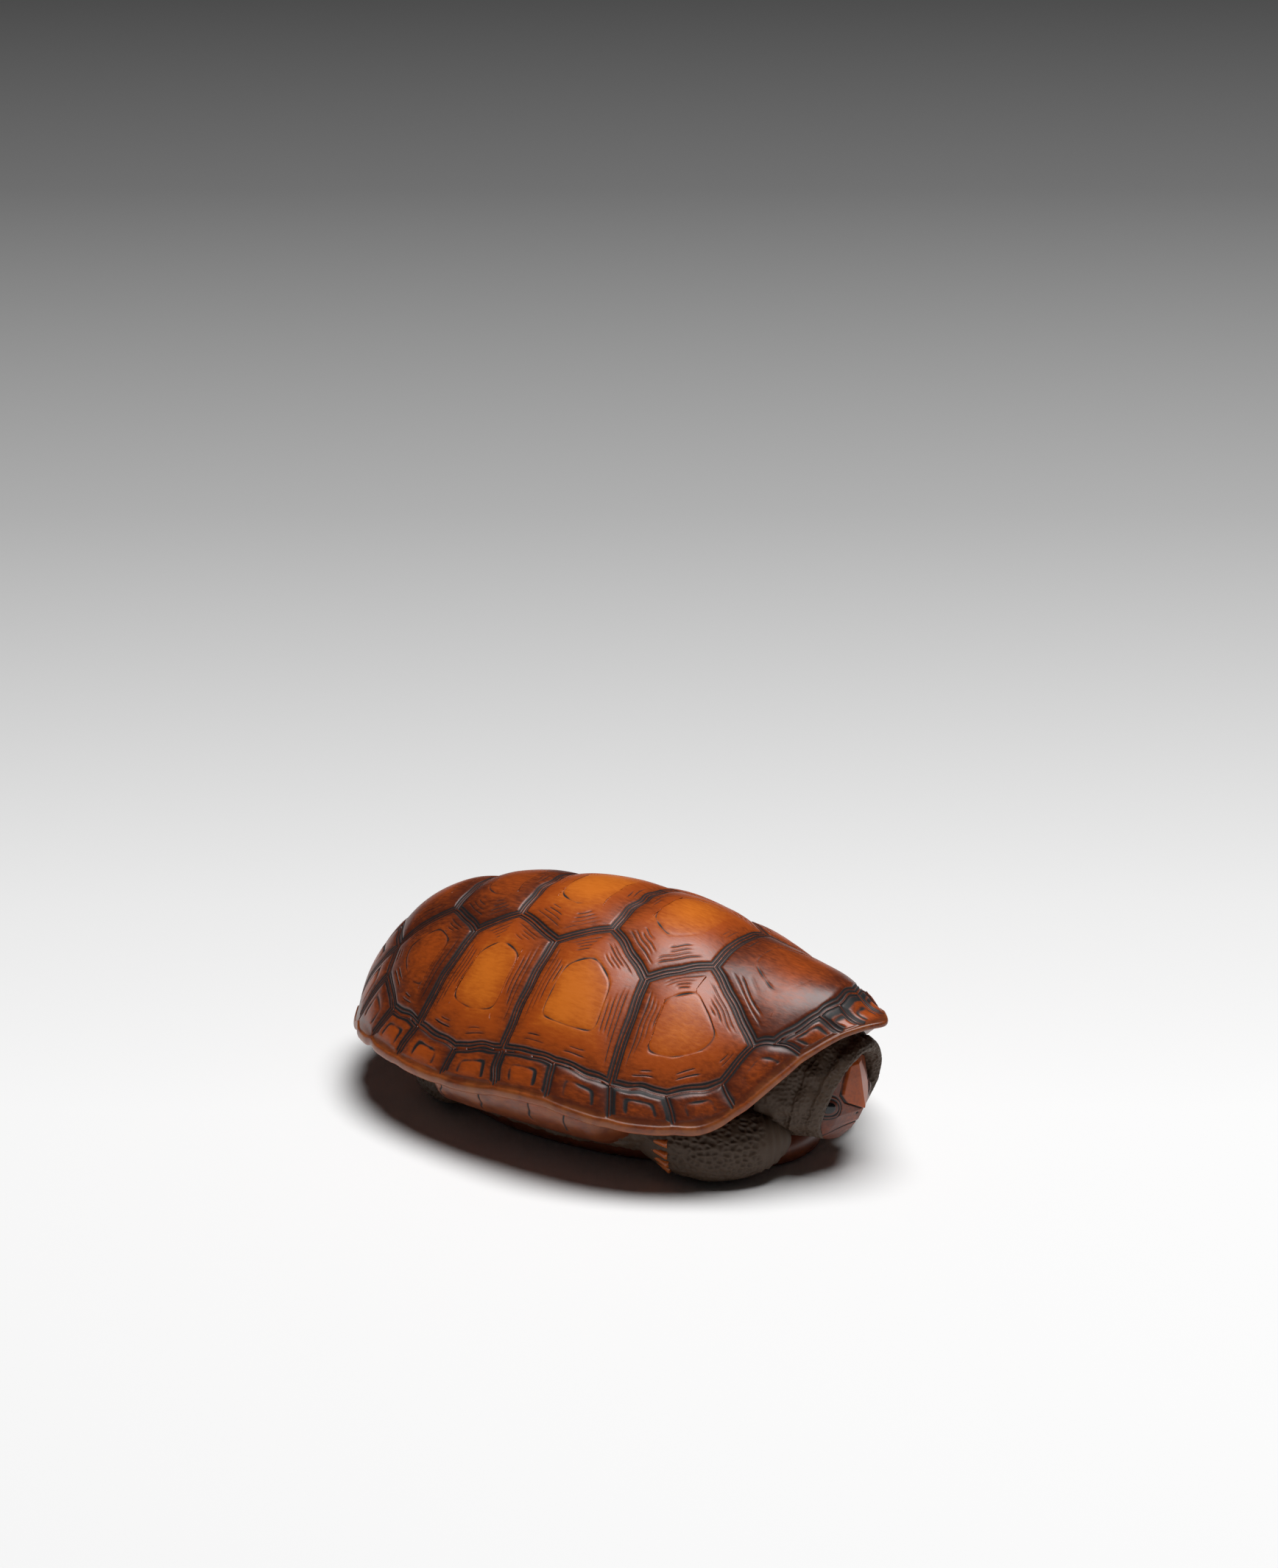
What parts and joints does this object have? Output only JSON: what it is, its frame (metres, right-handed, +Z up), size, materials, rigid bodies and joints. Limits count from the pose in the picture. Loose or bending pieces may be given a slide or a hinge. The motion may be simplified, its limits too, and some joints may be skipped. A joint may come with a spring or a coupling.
{
  "type": "turtle figurine",
  "caption": "Carved boxwood turtle drawn into its domed, scuted shell, resting on a flat belly plate that has a cord channel.",
  "frame": {"origin": "on the table, under the middle of the shell", "axes": "+X towards the head, +Y to the turtle's left, +Z up"},
  "size_m": [0.0477, 0.0316, 0.0185],
  "materials": {
    "polished_boxwood": "polished warm orange-brown boxwood with fine short grain and near-black stain in the carved lines",
    "stained_skin": "boxwood carved into wrinkles and small scales and stained nearly black",
    "dark_horn": "polished near-black horn"
  },
  "bodies": {
    "root": {"carapace": "polished_boxwood", "plastron": "polished_boxwood", "bridge_left": "polished_boxwood", "bridge_right": "polished_boxwood", "head": "polished_boxwood", "body": "stained_skin", "neck_collar": "stained_skin", "foreleg_left": "stained_skin", "foreleg_right": "stained_skin", "hind_leg_left": "stained_skin", "hind_leg_right": "stained_skin", "tail": "stained_skin", "eye_left": "dark_horn", "eye_right": "dark_horn"}
  },
  "joints": []
}
